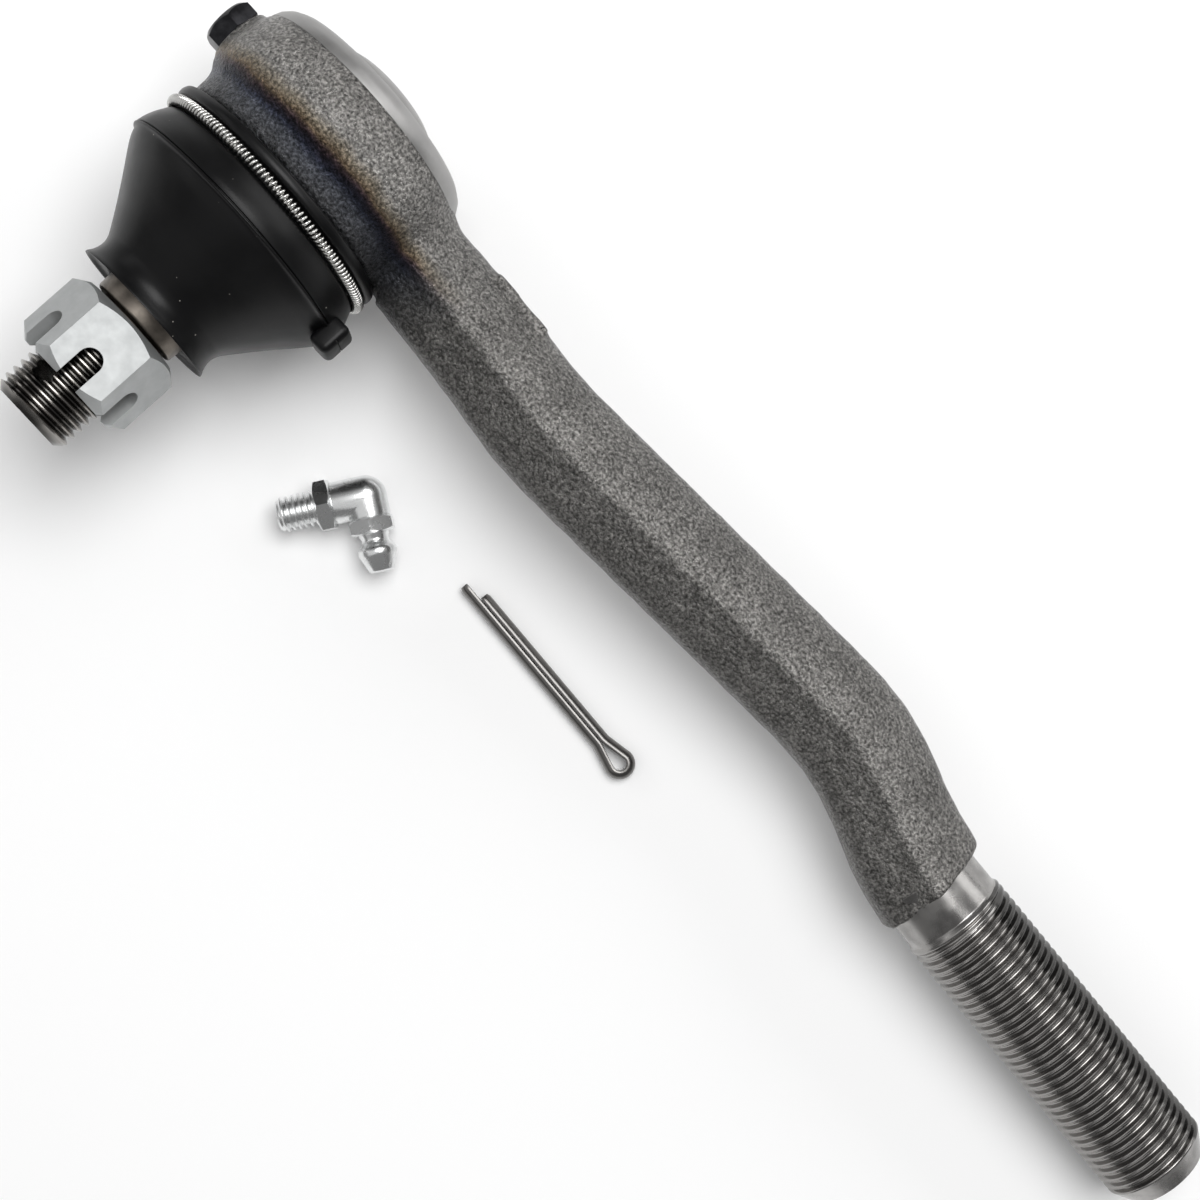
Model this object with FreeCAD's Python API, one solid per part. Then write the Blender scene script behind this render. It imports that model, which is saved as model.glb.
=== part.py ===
import FreeCAD, Part
import math
import os

from FreeCAD import Vector

# Tie rod end, in millimetres. The origin is the centre of the ball.
# +Y runs along the stud and the bore, from the stud's tip to the end cover.
# +X runs along the arm to the threaded shank, and +Z is up with the part lying on its side.

# Forging: the eye that holds the ball, the cranked arm and the threaded shank
shank_lean_deg = 3.0          # the shank leans this far from +X towards the stud
eye_r = 22.3                  # widest radius of the eye
collar_r = 20.1              # neck of the eye beside the boot
spigot_r = 19.3               # the boot's big end grips this
spigot_end_y = -14.5
spigot_corner = 0.8
shoulder_y = -9.0
rim_edge_y = 7.9              # the rough forging ends and the turned rim starts
rim_edge_r = 20.7
rim_face_y = 11.0
rim_flat_r = 17.2
lip_inner_r = 14.4            # the rim is rolled in over the cover to this radius
bore_r = 16.2
cover_seat_r = 16.8
cover_seat_y = 8.6
throat_r = 10.6
mouth_r = 12.8
boss_r = 4.8                  # raised seat for the port screw
arm_z = 8.8                   # half height of the arm's section
flash_low_y = -1.6            # the trimmed flash is a flat land between these two
flash_high_y = 2.4
neck_start_x = 148.6
neck_r = 8.45
thread_start_x = 156.4
thread_end_x = 207.0
shank_end_x = 210.5
shank_end_r = 7.0

# Threads
shank_crest_r = 8.95          # M18 x 1.5
stud_crest_r = 6.97           # M14 x 1.5
coarse_pitch = 1.5
groove_depth = 0.92
crest_flat = 0.25             # part of the pitch that the crest keeps

# Ball stud
ball_r = 11.5
ball_flat_y = 10.8
stud_neck_r = 6.0
taper_large_r = 8.5
taper_large_y = -27.0
taper_small_r = 7.7
taper_small_y = -39.7
undercut_r = 6.3
stud_thread_y = -40.6
stud_thread_end_y = -60.1
stud_tip_y = -61.3
stud_tip_r = 5.6
cotter_hole_r = 1.9
cotter_hole_y = -54.5
cotter_hole_turn_deg = 23.0

# Bearings, spring and cover
running_gap = 0.05
lower_bearing_low_y = -7.0
bearing_split_y = 0.6
pressure_seat_low_y = 1.2
pressure_seat_top_y = 7.4
spring_inner_r = 10.6
spring_outer_r = 15.6
spring_sheet = 0.5
cover_sheet = 1.6
dome_r = 11.4
dome_top_y = 14.8

# Boot and its two rings
boot_lip_end_y = -37.6
boot_lip_r = 12.6
boot_waist_r = 11.9
boot_waist_y = -34.7
boot_shoulder_r = 21.5
boot_shoulder_y = -19.8
boot_seam_r = 22.3
boot_seam_y = -18.8
boot_end_y = -9.3
boot_end_r = 21.1
boot_wall = 1.9
boot_bore_r = 8.45
garter_y = -12.3
garter_ring_r = 20.75
garter_coil_r = 0.95
lip_ring_r = 10.3
lip_ring_y = -36.1
lip_ring_wire_r = 0.7
nub_turn_deg = 14.0
nub_length = 5.6
nub_width = 5.4
nub_proud = 2.7
nub_start_y = -22.3

# Castle nut, 19 mm across flats
nut_flats = 19.0
nut_turn_deg = 8.6            # how far the nut is turned on at rest
nut_base_y = -40.3
nut_end_y = -53.5
nut_bore_r = 7.06
slot_width = 4.0
slot_depth = 6.7
nut_corner = 0.9              # length of the turned chamfer at each end

# Grease port screw
port_y = 2.8
port_flats = 8.0
port_head = 3.3
port_shank_r = 2.95

# Bench that the part and its two loose pieces lie on
bench_normal = Vector(-0.0700, -0.1310, 0.9889)
bench_drop = 23.4             # from the origin down to the bench, along its normal

# Cotter pin, 3.2 mm nominal
cotter_leg_r = 1.45
cotter_gap = 0.25
cotter_long_leg = 34.0
cotter_short_leg = 30.8
eye_loop_r = 1.15
eye_bend_r = 4.0
eye_flare_deg = 13.0
cotter_place = (98.5, -28.8)
cotter_turn_deg = -2.8

# Elbow grease nipple, M6
nipple_place = (43.0, -29.3)
nipple_turn_deg = 59.7
nipple_thread_r = 2.95
nipple_thread_end = -14.6
nipple_hex_start = -8.2
nipple_hex_end = -5.4
nipple_hex_flats = 8.0
elbow_r = 3.5
elbow_face = 3.6
channel_r = 1.0
collar_flats = 7.0
collar_end = 6.2
head_neck_r = 2.2
head_r = 3.25
head_tip = 12.6
head_bore_r = 1.35
check_ball_r = 1.2


def v(x, y, z=0.0):
    return Vector(x, y, z)


def line(a, b):
    return Part.LineSegment(a, b).toShape()


def arc(a, b, c):
    return Part.Arc(a, b, c).toShape()


def closed_face(edges):
    return Part.Face(Part.Wire(edges))


def polygon_face(points):
    return Part.Face(Part.makePolygon(points + [points[0]]))


def turned(points):
    """Solid of revolution about Y from (radius, y) points. A pair of points is an arc: through, to."""
    edges = []
    last = v(*points[0])
    for item in points[1:] + [points[0]]:
        if isinstance(item[0], tuple):
            through, end = v(*item[0]), v(*item[1])
            edges.append(arc(last, through, end))
        else:
            end = v(*item)
            if not end.isEqual(last, 1e-6):
                edges.append(line(last, end))
        last = end
    return closed_face(edges).revolve(v(0, 0), v(0, 1), 360)


def y_cylinder(radius, low_y, high_y):
    return Part.makeCylinder(radius, high_y - low_y, v(0, low_y), v(0, 1))


def thread_points(crest_r, start, end, pitch):
    """(radius, place) points of evenly spaced thread grooves between two places."""
    step = pitch if end > start else -pitch
    flat = crest_flat * step
    count = int(abs(end - start) / pitch)
    points = []
    for turn in range(count):
        at = start + turn * step
        points.append((crest_r, at))
        points.append((crest_r, at + flat))
        points.append((crest_r - groove_depth, at + (step + flat) / 2))
    points.append((crest_r, start + count * step))
    return points


def hex_prism(flats, low, high, corner_up=False):
    """Hexagon about Y, with a flat facing +Z, or with a corner there."""
    first = 0 if corner_up else 30
    radius = flats / math.sqrt(3)
    corners = []
    for step in range(6):
        angle = math.radians(first + 60 * step)
        corners.append(v(radius * math.sin(angle), low, radius * math.cos(angle)))
    return polygon_face(corners).extrude(v(0, high - low))


def chamfered_hex(flats, low, high, chamfer, corner_up=False):
    """Hexagon with its corners turned off at both ends, as on a machined nut."""
    corner_r = flats / math.sqrt(3)
    face_r = flats / 2 * 0.97
    cutter = turned([
        (0, low),
        (face_r, low),
        (corner_r, low + chamfer),
        (corner_r, high - chamfer),
        (face_r, high),
        (0, high),
    ])
    return hex_prism(flats, low, high, corner_up).common(cutter)


def along_x(shape):
    """Turn a shape built along Y so that it runs along X."""
    turned_shape = shape.copy()
    turned_shape.rotate(v(0, 0), v(0, 0, 1), -90)
    return turned_shape


def leaned(shape):
    """Swing a shape built along X into line with the leaning shank."""
    swung = shape.copy()
    swung.rotate(v(0, 0), v(0, 0, 1), -shank_lean_deg)
    return swung


def on_bench(shape, place, turn_deg, height):
    """Lay a shape built round the origin on the bench, turned about the bench's normal."""
    laid = shape.copy()
    laid.rotate(v(0, 0), v(0, 0, 1), turn_deg)
    tilt = FreeCAD.Rotation(v(0, 0, 1), bench_normal)
    laid.Placement = FreeCAD.Placement(v(0, 0), tilt).multiply(laid.Placement)
    x, y = place
    floor_z = (-bench_drop - bench_normal.x * x - bench_normal.y * y) / bench_normal.z
    laid.translate(v(x, y, floor_z) + bench_normal * height)
    return laid


# Forging ---------------------------------------------------------------

def eye_blank():
    return turned([
        (0, spigot_end_y),
        (spigot_r - spigot_corner, spigot_end_y),
        (spigot_r, spigot_end_y + spigot_corner),
        (spigot_r, shoulder_y),
        (collar_r, shoulder_y),
        (collar_r, -6.0),
        ((collar_r + 0.45, -4.5), (eye_r - 0.6, -3.3)),
        ((eye_r, 0.4), (eye_r - 0.4, 4.4)),
        (rim_edge_r, rim_edge_y),
        ((rim_edge_r - 0.8, 10.2), (rim_flat_r, rim_face_y)),
        (0, rim_face_y),
    ])


def eye_hollow():
    cavity = turned([
        (0, spigot_end_y),
        (mouth_r, spigot_end_y),
        (throat_r, -11.0),
        (throat_r, -8.6),
        (bore_r, -3.0),
        (bore_r, cover_seat_y),
        (cover_seat_r, cover_seat_y),
        (cover_seat_r, cover_seat_y + cover_sheet),
        (lip_inner_r, cover_seat_y + cover_sheet),
        (lip_inner_r, rim_face_y),
        (0, rim_face_y),
    ])
    port = Part.makeCylinder(port_shank_r, eye_r, v(-eye_r - 1, port_y), v(1, 0))
    return cavity.fuse(port)


def arm_section(x, centre_y, half_y, half_z):
    """Forged section in the YZ plane: trimmed flash lands, drafted flanks, round sides."""
    knee_y = 0.84 * half_y
    knee_z = 0.52 * half_z
    corners = {
        "top_low": (flash_low_y, half_z),
        "top_high": (flash_high_y, half_z),
        "knee_high_top": (knee_y, knee_z),
        "knee_high_base": (knee_y, -knee_z),
        "base_high": (flash_high_y, -half_z),
        "base_low": (flash_low_y, -half_z),
        "knee_low_base": (-knee_y, -knee_z),
        "knee_low_top": (-knee_y, knee_z),
    }
    at = {name: v(x, centre_y + y, z) for name, (y, z) in corners.items()}
    high_side = v(x, centre_y + half_y, 0)
    low_side = v(x, centre_y - half_y, 0)
    return Part.Wire([
        line(at["top_low"], at["top_high"]),
        line(at["top_high"], at["knee_high_top"]),
        arc(at["knee_high_top"], high_side, at["knee_high_base"]),
        line(at["knee_high_base"], at["base_high"]),
        line(at["base_high"], at["base_low"]),
        line(at["base_low"], at["knee_low_base"]),
        arc(at["knee_low_base"], low_side, at["knee_low_top"]),
        line(at["knee_low_top"], at["top_low"]),
    ])


def arm():
    """Cranked arm: straight from the eye, rising away from the stud, then back to the shank."""
    stations = [
        (12.0, 0.0, 8.6),
        (34.0, 0.0, 9.0),
        (50.0, -0.8, 9.4),
        (74.0, 1.4, 9.5),
        (98.0, 3.8, 9.55),
        (117.0, 5.6, 9.6),
        (126.0, 5.7, 9.6),
        (133.0, 4.2, 9.8),
        (140.0, 1.9, 9.9),
        (neck_start_x, 0.1, 9.4),
    ]
    return Part.makeLoft([arm_section(x, y, w, arm_z) for x, y, w in stations], True)


def shank():
    grooves = thread_points(shank_crest_r, thread_start_x, thread_end_x, coarse_pitch)
    profile = [
        (0, neck_start_x - 6),
        (neck_r, neck_start_x - 6),
        (neck_r, thread_start_x - 1.1),
        (neck_r - 0.45, thread_start_x - 0.6),
    ]
    profile += grooves
    profile += [(shank_crest_r, thread_end_x), (shank_end_r, shank_end_x), (0, shank_end_x)]
    return along_x(turned(profile))


def forged_arm():
    boot_room = y_cylinder(eye_r - 0.4, spigot_end_y - 1, shoulder_y)
    bar = arm().fuse(shank())
    limb = leaned(bar).cut(boot_room)
    blank = eye_blank().fuse(limb)
    boss = along_x(y_cylinder(boss_r, -eye_r, -18))
    boss.translate(v(0, port_y))
    return blank.fuse(boss).cut(eye_hollow()).removeSplitter()


# Inside the eye ---------------------------------------------------------

def ball_stud():
    neck_joint_y = -math.sqrt(ball_r ** 2 - stud_neck_r ** 2)
    flat_r = math.sqrt(ball_r ** 2 - ball_flat_y ** 2)
    grooves = thread_points(stud_crest_r, stud_thread_y, stud_thread_end_y, coarse_pitch)
    profile = [
        (0, ball_flat_y - 1.2),
        (1.2, ball_flat_y),
        (flat_r, ball_flat_y),
        ((ball_r, 0), (stud_neck_r, neck_joint_y)),
        (stud_neck_r, -13.5),
        (7.2, -19.0),
        (taper_large_r, taper_large_y + 1.5),
        (taper_large_r, taper_large_y),
        (taper_small_r, taper_small_y),
        (undercut_r, taper_small_y - 0.15),
        (undercut_r, stud_thread_y + 0.35),
    ]
    profile += grooves
    profile += [(stud_crest_r, stud_thread_end_y), (stud_tip_r, stud_tip_y), (0, stud_tip_y)]
    turn = math.radians(cotter_hole_turn_deg)
    way = v(-math.sin(turn), 0, math.cos(turn))
    hole = Part.makeCylinder(cotter_hole_r, 20, v(0, cotter_hole_y) - way * 10, way)
    return turned(profile).cut(hole)


def lower_bearing():
    cup_r = ball_r + running_gap
    low_r = math.sqrt(cup_r ** 2 - lower_bearing_low_y ** 2)
    split_r = math.sqrt(cup_r ** 2 - bearing_split_y ** 2)
    outer_r = bore_r - running_gap
    middle_y = lower_bearing_low_y / 2
    middle_r = math.sqrt(cup_r ** 2 - middle_y ** 2)
    return turned([
        (split_r, bearing_split_y),
        ((middle_r, middle_y), (low_r, lower_bearing_low_y)),
        (12.1, lower_bearing_low_y),
        (outer_r, -2.9),
        (outer_r, bearing_split_y),
    ])


def pressure_seat():
    cup_r = ball_r + running_gap
    low_r = math.sqrt(cup_r ** 2 - pressure_seat_low_y ** 2)
    top_r = math.sqrt(cup_r ** 2 - pressure_seat_top_y ** 2)
    middle_y = (pressure_seat_low_y + pressure_seat_top_y) / 2
    middle_r = math.sqrt(cup_r ** 2 - middle_y ** 2)
    outer_r = bore_r - running_gap
    return turned([
        (top_r, pressure_seat_top_y),
        ((middle_r, middle_y), (low_r, pressure_seat_low_y)),
        (outer_r, pressure_seat_low_y),
        (outer_r, pressure_seat_top_y),
    ])


def preload_spring():
    """Conical disc spring between the pressure seat and the cover."""
    low = pressure_seat_top_y
    high = cover_seat_y
    return turned([
        (spring_outer_r, low),
        (spring_outer_r, low + spring_sheet),
        (spring_inner_r, high),
        (spring_inner_r, high - spring_sheet),
    ])


def cap_middle(top_y, edge_r, edge_y):
    """Halfway point of a spherical cap from its top on the axis to its edge."""
    rise = top_y - edge_y
    radius = (rise ** 2 + edge_r ** 2) / (2 * rise)
    half = math.asin(edge_r / radius) / 2
    return (radius * math.sin(half), top_y - radius * (1 - math.cos(half)))


def end_cover():
    """Pressed plate with a raised dome that clears the top of the ball."""
    base = cover_seat_y
    top = base + cover_sheet
    inner_top = dome_top_y - cover_sheet
    inner_r = dome_r - cover_sheet
    inner_cap = (inner_r - 2.0, inner_top - 1.3)
    outer_cap = (dome_r - 2.2, dome_top_y - 1.4)
    return turned([
        (0, inner_top),
        (cap_middle(inner_top, *inner_cap), inner_cap),
        ((inner_r - 0.6, inner_cap[1] - 0.8), (inner_r, base + 1.2)),
        (inner_r, base),
        (cover_seat_r - running_gap, base),
        (cover_seat_r - running_gap, top),
        (dome_r + 0.6, top),
        ((dome_r + 0.2, top + 0.2), (dome_r, top + 0.6)),
        ((dome_r - 0.7, dome_top_y - 2.4), outer_cap),
        (cap_middle(dome_top_y, *outer_cap), (0, dome_top_y)),
    ])


# Boot -------------------------------------------------------------------

def dust_boot():
    seat = garter_coil_r + running_gap
    groove_low = garter_y - seat
    groove_high = garter_y + seat
    shell = turned([
        (boot_bore_r, boot_lip_end_y),
        (boot_lip_r, boot_lip_end_y),
        (boot_waist_r, boot_waist_y),
        (boot_shoulder_r, boot_shoulder_y),
        (boot_seam_r, boot_seam_y + 0.3),
        (boot_seam_r, boot_seam_y + 0.9),
        (boot_seam_r - 0.55, -17.2),
        (boot_seam_r - 0.8, groove_low - 0.8),
        (garter_ring_r, groove_low),
        ((garter_ring_r - seat, garter_y), (garter_ring_r, groove_high)),
        (boot_end_r + 0.35, groove_high + 0.3),
        (boot_end_r, boot_end_y),
        (spigot_r, boot_end_y),
        (spigot_r, spigot_end_y + spigot_corner),
        (spigot_r - spigot_corner, spigot_end_y),
        (spigot_r - 1.6, spigot_end_y),
        (spigot_r - 1.6, spigot_end_y - 0.5),
        (spigot_r - 0.4, -16.6),
        (boot_shoulder_r - boot_wall - 0.5, boot_shoulder_y + 0.6),
        (boot_waist_r - 0.9, boot_waist_y + 1.6),
        (boot_bore_r, boot_waist_y + 1.0),
    ])
    clear = lip_ring_wire_r + 0.1
    ring_room = Part.makeTorus(lip_ring_r, clear, v(0, lip_ring_y), v(0, 1))
    block = Part.makeBox(5, nub_length, nub_width, v(boot_seam_r + nub_proud - 5, nub_start_y, -nub_width / 2))
    block = block.makeFillet(0.9, block.Edges)
    block.rotate(v(0, 0), v(0, 1, 0), -nub_turn_deg)
    inside = turned([
        (0, -24.0),
        (boot_seam_r - 5.0, -24.0),
        (boot_seam_r - 2.4, -19.0),
        (boot_seam_r - 2.4, -15.0),
        (0, -15.0),
    ])
    return shell.fuse(block.cut(inside)).cut(ring_room)


def boot_lip_ring():
    return Part.makeTorus(lip_ring_r, lip_ring_wire_r, v(0, lip_ring_y), v(0, 1))


def garter_spring():
    return Part.makeTorus(garter_ring_r, garter_coil_r, v(0, garter_y), v(0, 1))


# Nut, screw and loose pieces ---------------------------------------------

def castle_nut():
    body = chamfered_hex(nut_flats, nut_end_y, nut_base_y, nut_corner)
    bore = turned([
        (0, nut_end_y - 1),
        (nut_bore_r + 1.2, nut_end_y - 0.2),
        (nut_bore_r, nut_end_y + 0.9),
        (nut_bore_r, nut_base_y - 0.8),
        (nut_bore_r + 1.1, nut_base_y + 0.2),
        (0, nut_base_y + 1),
    ])
    slot_end_y = nut_end_y + slot_depth - slot_width / 2
    cutters = []
    for step in range(3):
        block = Part.makeBox(slot_width, slot_depth, 30, v(-slot_width / 2, nut_end_y - slot_width / 2, -15))
        end = Part.makeCylinder(slot_width / 2, 30, v(0, slot_end_y, -15), v(0, 0, 1))
        cutter = block.fuse(end)
        cutter.rotate(v(0, 0), v(0, 1, 0), 60 * step)
        cutters.append(cutter)
    nut = body.cut(cutters + [bore])
    nut.rotate(v(0, 0), v(0, 1, 0), nut_turn_deg)
    return nut


def port_screw():
    head = chamfered_hex(port_flats, -eye_r - port_head, -eye_r, 0.5, corner_up=True)
    stem = y_cylinder(port_shank_r - running_gap, -eye_r, -17.0)
    screw = along_x(head.fuse(stem))
    screw.translate(v(0, port_y))
    return screw


def cotter_pin():
    """Half-round wire folded into two legs, with a teardrop eye at the fold."""
    half_gap = cotter_gap / 2
    flare = math.radians(eye_flare_deg)
    sine, cosine = math.sin(flare), math.cos(flare)
    loop_x = (eye_loop_r + eye_bend_r - (half_gap + eye_bend_r) * cosine) / sine
    half = math.radians(eye_flare_deg / 2)
    bend_mid = v(eye_bend_r * math.sin(half), half_gap + eye_bend_r * (1 - math.cos(half)))
    bend_end = v(eye_bend_r * sine, half_gap + eye_bend_r * (1 - cosine))
    loop_start = v(loop_x - eye_loop_r * sine, eye_loop_r * cosine)

    def mirrored(point):
        return v(point.x, -point.y)

    path = Part.Wire([
        line(v(-cotter_long_leg, half_gap), v(0, half_gap)),
        arc(v(0, half_gap), bend_mid, bend_end),
        line(bend_end, loop_start),
        arc(loop_start, v(loop_x + eye_loop_r, 0), mirrored(loop_start)),
        line(mirrored(loop_start), mirrored(bend_end)),
        arc(mirrored(bend_end), mirrored(bend_mid), v(0, -half_gap)),
        line(v(0, -half_gap), v(-cotter_short_leg, -half_gap)),
    ])
    x = -cotter_long_leg
    low = v(x, half_gap, -cotter_leg_r)
    high = v(x, half_gap, cotter_leg_r)
    section = Part.Wire([line(low, high), arc(high, v(x, half_gap + cotter_leg_r, 0), low)])
    wire = Part.BRepOffsetAPI.MakePipeShell(path)
    wire.setBiNormalMode(v(0, 0, 1))
    wire.add(section)
    wire.build()
    wire.makeSolid()
    pin = wire.shape()
    pin.rotate(v(0, 0), v(1, 0, 0), 180)
    return on_bench(pin, cotter_place, cotter_turn_deg, cotter_leg_r)


def nipple(shape):
    """Lay a nipple piece on the bench, on a corner of its hexagon."""
    return on_bench(shape, nipple_place, nipple_turn_deg, nipple_hex_flats / math.sqrt(3))


def nipple_elbow():
    grooves = thread_points(nipple_thread_r, nipple_thread_end + 0.6, nipple_hex_start - 0.4, 1.0)
    stem = along_x(turned(
        [(0, nipple_thread_end), (2.3, nipple_thread_end)]
        + [(max(r, nipple_thread_r - 0.6), y) for r, y in grooves]
        + [(2.5, nipple_hex_start - 0.2), (2.5, nipple_hex_start), (0, nipple_hex_start)]
    ))
    collar = along_x(chamfered_hex(nipple_hex_flats, nipple_hex_start, nipple_hex_end, 0.4, corner_up=True))
    barrel = Part.makeCylinder(elbow_r, -nipple_hex_end, v(nipple_hex_end, 0), v(1, 0))
    corner = Part.makeSphere(elbow_r, v(0, 0))
    branch = Part.makeCylinder(elbow_r, elbow_face, v(0, 0), v(0, -1))
    way_in = Part.makeCylinder(channel_r, -nipple_thread_end, v(nipple_thread_end, 0), v(1, 0))
    socket = Part.makeCylinder(2.6, elbow_face, v(0, 0), v(0, -1))
    body = stem.fuse([collar, barrel, corner, branch])
    return nipple(body.cut([way_in, socket]).removeSplitter())


def nipple_head():
    plug = turned([
        (0, -0.4),
        (2.6 - running_gap, -0.4),
        (2.6 - running_gap, -elbow_face - 1),
        (head_neck_r, -collar_end),
        (head_neck_r, -7.6),
        (head_r, -8.9),
        (head_r, -9.7),
        (2.0, -head_tip),
        (0, -head_tip),
    ])
    collar = chamfered_hex(collar_flats, -collar_end, -elbow_face, 0.4, corner_up=True)
    bore = turned([
        (0, 0),
        (head_bore_r, 0),
        (head_bore_r, -11.3),
        (0.85, -12.1),
        (0.85, -13),
        (0, -13),
    ])
    return nipple(plug.fuse(collar).cut(bore).removeSplitter())


def check_ball_centre():
    return v(0, -11.05)


def check_ball():
    return nipple(Part.makeSphere(check_ball_r, check_ball_centre()))


def check_spring():
    """Small coil under the check ball, with its closed ends left out."""
    wire_r = 0.18
    coil_r = 0.95
    top = check_ball_centre().y + check_ball_r + 0.1
    length = -1.4 - top
    helix = Part.makeHelix(length / 7, length, coil_r)
    section = Part.Wire(Part.makeCircle(wire_r, v(coil_r, 0, 0), v(0, 1, 0)))
    coil = Part.Wire(helix.Edges).makePipeShell([section], True, True)
    coil.rotate(v(0, 0), v(1, 0, 0), -90)
    coil.translate(v(0, top))
    return nipple(coil)


pieces = [
    forged_arm,
    ball_stud,
    lower_bearing,
    pressure_seat,
    preload_spring,
    end_cover,
    dust_boot,
    boot_lip_ring,
    garter_spring,
    castle_nut,
    port_screw,
    cotter_pin,
    nipple_elbow,
    nipple_head,
    check_ball,
    check_spring,
]

os.makedirs("parts", exist_ok=True)
for make in pieces:
    shape = make()
    shape.exportStep("parts/" + make.__name__ + ".step")
    print(make.__name__, "valid", shape.isValid(), "solids", len(shape.Solids), "volume", round(shape.Volume, 2))
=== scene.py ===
import math

import bmesh
import bpy
import numpy as np
from mathutils import Matrix, Quaternion, Vector


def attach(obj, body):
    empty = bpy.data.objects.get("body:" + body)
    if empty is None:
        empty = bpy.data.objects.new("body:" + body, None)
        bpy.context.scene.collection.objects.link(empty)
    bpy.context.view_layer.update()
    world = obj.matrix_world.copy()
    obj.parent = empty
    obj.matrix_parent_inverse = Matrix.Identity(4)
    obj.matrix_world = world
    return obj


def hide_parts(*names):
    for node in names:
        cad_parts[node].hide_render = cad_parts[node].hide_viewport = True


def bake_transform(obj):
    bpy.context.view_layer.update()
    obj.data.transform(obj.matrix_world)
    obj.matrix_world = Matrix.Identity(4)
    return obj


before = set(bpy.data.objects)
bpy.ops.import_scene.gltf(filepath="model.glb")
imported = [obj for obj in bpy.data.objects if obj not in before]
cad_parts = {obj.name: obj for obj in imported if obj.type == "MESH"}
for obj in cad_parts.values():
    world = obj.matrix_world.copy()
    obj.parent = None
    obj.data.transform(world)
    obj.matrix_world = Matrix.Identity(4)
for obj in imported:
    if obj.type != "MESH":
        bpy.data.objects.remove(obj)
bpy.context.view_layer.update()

mm = 0.001
fullTurn = 2 * math.pi


def linear(hexText, alpha=1.0):
    channels = [int(hexText[i:i + 2], 16) / 255 for i in (1, 3, 5)]
    return [c / 12.92 if c <= 0.04045 else ((c + 0.055) / 1.055) ** 2.4 for c in channels] + [alpha]


def dimmed(shade, share):
    return [c * share for c in linear(shade)[:3]] + [1]


def addNode(tree, kind, inputs, out=0, stops=(), **settings):
    # an input is a value, or an output to link from; stops are a colour ramp's (place, hex colour or grey)
    made = tree.nodes.new("ShaderNode" + kind)
    for name, value in settings.items():
        setattr(made, name, value)
    for extra in range(len(stops) - 2):
        made.color_ramp.elements.new(0.5)
    for index, (place, shade) in enumerate(stops):
        mark = made.color_ramp.elements[index]
        mark.position = place
        mark.color = linear(shade) if isinstance(shade, str) else (shade, shade, shade, 1)
    for name, value in inputs.items():
        if isinstance(value, bpy.types.NodeSocket):
            tree.links.new(value, made.inputs[name])
        else:
            made.inputs[name].default_value = value
    return made.outputs[out]


def newMaterial(name, surface):
    # surface holds the shader's own constants
    material = bpy.data.materials.new(name)
    material.use_nodes = True
    tree = material.node_tree
    shader = tree.nodes["Principled BSDF"]
    for socket, value in surface.items():
        shader.inputs[socket].default_value = value
    return material, tree, shader


def meshPiece(name, points, faces, material, smoothDeg=35):
    # points are in millimetres
    mesh = bpy.data.meshes.new(name)
    mesh.from_pydata([tuple(p) for p in np.asarray(points) * mm], [], [tuple(f) for f in faces])
    mesh.update()
    piece = bpy.data.objects.new(name, mesh)
    bpy.context.collection.objects.link(piece)
    finishMesh(piece, smoothDeg)
    piece.data.materials.append(material)
    return piece


def finishMesh(piece, smoothDeg=35):
    work = bmesh.new()
    work.from_mesh(piece.data)
    bmesh.ops.remove_doubles(work, verts=work.verts, dist=0.002 * mm)
    bmesh.ops.dissolve_degenerate(work, edges=work.edges, dist=0.001 * mm)
    bmesh.ops.recalc_face_normals(work, faces=work.faces)
    work.to_mesh(piece.data)
    work.free()
    piece.data.shade_smooth()
    piece.data.set_sharp_from_angle(angle=math.radians(smoothDeg))


def applyModifiers(piece, smoothDeg=35):
    graph = bpy.context.evaluated_depsgraph_get()
    done = bpy.data.meshes.new_from_object(piece.evaluated_get(graph))
    piece.modifiers.clear()
    piece.data = done
    finishMesh(piece, smoothDeg)
    return piece


def cutWith(piece, cutter, operation="DIFFERENCE"):
    made = piece.modifiers.new("cut", "BOOLEAN")
    made.operation = operation
    made.solver = "EXACT"
    made.object = cutter
    applyModifiers(piece)
    bpy.data.objects.remove(cutter)
    return piece


def bevelEdges(piece, widthMm, segments=2, angleDeg=30, smoothDeg=35):
    made = piece.modifiers.new("bevel", "BEVEL")
    made.width = widthMm * mm
    made.segments = segments
    made.limit_method = "ANGLE"
    made.angle_limit = math.radians(angleDeg)
    made.use_clamp_overlap = True
    return applyModifiers(piece, smoothDeg)


def roundCorners(outline, radius=0.3, steps=4):
    # (radius, place) outline with every corner rounded, for turned pieces
    result = []
    count = len(outline)
    for index, corner in enumerate(outline):
        here = np.array(corner, float)
        before = np.array(outline[index - 1], float) - here
        after = np.array(outline[(index + 1) % count], float) - here
        lengths = (np.linalg.norm(before), np.linalg.norm(after))
        if corner[0] < 1e-6 or min(lengths) < 1e-6:
            result.append(tuple(here))
            continue
        cut = min(radius, 0.45 * lengths[0], 0.45 * lengths[1])
        start, end = here + before / lengths[0] * cut, here + after / lengths[1] * cut
        for step in range(steps + 1):
            t = step / steps
            result.append(tuple((1 - t) ** 2 * start + 2 * t * (1 - t) * here + t ** 2 * end))
    return result


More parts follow.
